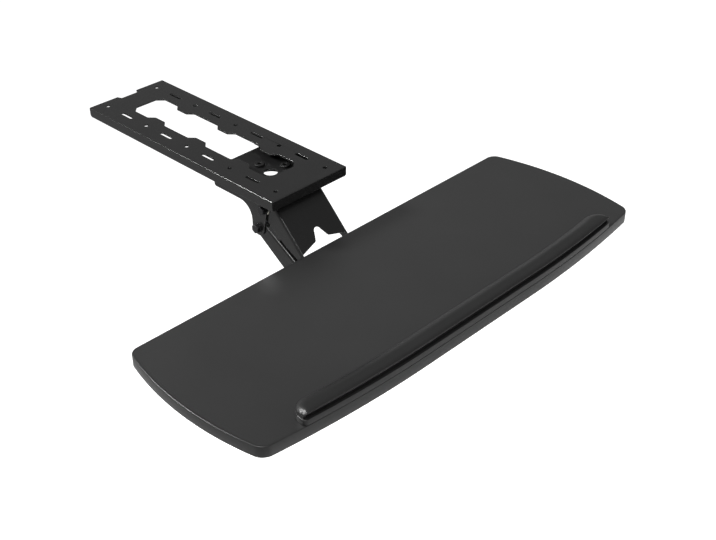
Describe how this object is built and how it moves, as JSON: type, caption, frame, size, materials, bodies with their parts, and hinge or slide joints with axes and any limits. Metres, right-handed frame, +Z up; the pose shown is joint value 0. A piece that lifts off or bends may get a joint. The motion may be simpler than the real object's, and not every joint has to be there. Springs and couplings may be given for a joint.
{
  "type": "keyboard tray under desk",
  "caption": "Wide bowed keyboard tray with a soft wrist rest, hung under a desk on a swivelling, height-adjustable parallel arm and slotted mounting plate.",
  "frame": {"origin": "centre of the hole pattern on the top face of the mounting plate, which lies against the desk", "axes": "+X to the user's right along the tray, +Y to the rear of the desk, +Z up into the desk"},
  "size_m": [0.8, 0.7826, 0.1666],
  "materials": {
    "plate_coat": "fine matte powder coat",
    "arm_coat": "fine matte powder coat",
    "pivot_steel": "zinc plated",
    "bolt_black": "black oxide, satin",
    "spring_steel": "oiled spring steel",
    "bush_nylon": "natural nylon",
    "knob_plastic": "moulded, fine grain",
    "board_laminate": "satin black laminate on fibreboard",
    "edge_plastic": "satin",
    "rest_base_plastic": "satin",
    "rest_pad_skin": "smooth satin skin over soft foam",
    "screw_zinc": "black zinc"
  },
  "bodies": {
    "mount": {"mount_plate": "plate_coat", "hub_carrier": "plate_coat", "hub_core": "pivot_steel", "hub_retainer": "arm_coat", "hub_rivets": "bolt_black", "swivel_rings": "bush_nylon"},
    "bracket": {"arm_bracket": "arm_coat", "base_bolts": "bolt_black", "base_nut": "bolt_black", "base_washers": "bolt_black", "spring_sleeve": "pivot_steel", "lower_sleeves": "pivot_steel", "lift_springs": "spring_steel"},
    "upper_arm": {"upper_arm": "arm_coat", "arm_bushes": "bush_nylon"},
    "lower_link": {"lower_link": "arm_coat", "link_bushes": "bush_nylon"},
    "head": {"head_bracket": "arm_coat", "head_bolts": "bolt_black", "head_nuts": "bolt_black", "head_washers": "bolt_black", "head_sleeves": "pivot_steel", "tilt_bolt": "bolt_black", "tilt_nut": "bolt_black", "clamp_bolt": "bolt_black", "tilt_washers": "bush_nylon"},
    "tray": {"tray_bracket": "arm_coat", "tray_screws": "screw_zinc", "tray_board": "board_laminate", "edge_band": "edge_plastic", "wrist_base": "rest_base_plastic", "wrist_pad": "rest_pad_skin", "wrist_screws": "screw_zinc"},
    "height_knob": {"height_knob": "knob_plastic"},
    "tilt_knob": {"tilt_knob": "knob_plastic"}
  },
  "joints": [
    {"name": "swivel", "type": "hinge", "parent": "mount", "child": "bracket", "pos_m": [0, -0.138, -0.017], "axis": [0, 0, 1], "range_deg": [-60, 60]},
    {"name": "arm_raise", "type": "hinge", "parent": "bracket", "child": "upper_arm", "pos_m": [0, -0.177, -0.0425], "axis": [1, 0, 0], "range_deg": [-35, 5], "deforming": ["lift_springs"]},
    {"name": "link_turn", "type": "hinge", "parent": "bracket", "child": "lower_link", "pos_m": [0, -0.1627, -0.08], "axis": [1, 0, 0], "range_deg": [-35, 5]},
    {"name": "head_level", "type": "hinge", "parent": "upper_arm", "child": "head", "pos_m": [0, -0.28349, -0.11707], "axis": [1, 0, 0], "range_deg": [-5, 35]},
    {"name": "tray_tilt", "type": "hinge", "parent": "head", "child": "tray", "pos_m": [0, -0.3, -0.11], "axis": [1, 0, 0], "range_deg": [-10, 15]},
    {"name": "height_knob_turn", "type": "hinge", "parent": "bracket", "child": "height_knob", "pos_m": [0.06, -0.1627, -0.08], "axis": [1, 0, 0], "range_deg": [0, 180]},
    {"name": "tilt_knob_turn", "type": "hinge", "parent": "head", "child": "tilt_knob", "pos_m": [0.052, -0.336, -0.127], "axis": [1, 0, 0], "range_deg": [0, 180]}
  ],
  "couplings": [
    {"joint": "link_turn", "follows": "arm_raise", "ratio": 1},
    {"joint": "head_level", "follows": "arm_raise", "ratio": -1}
  ]
}
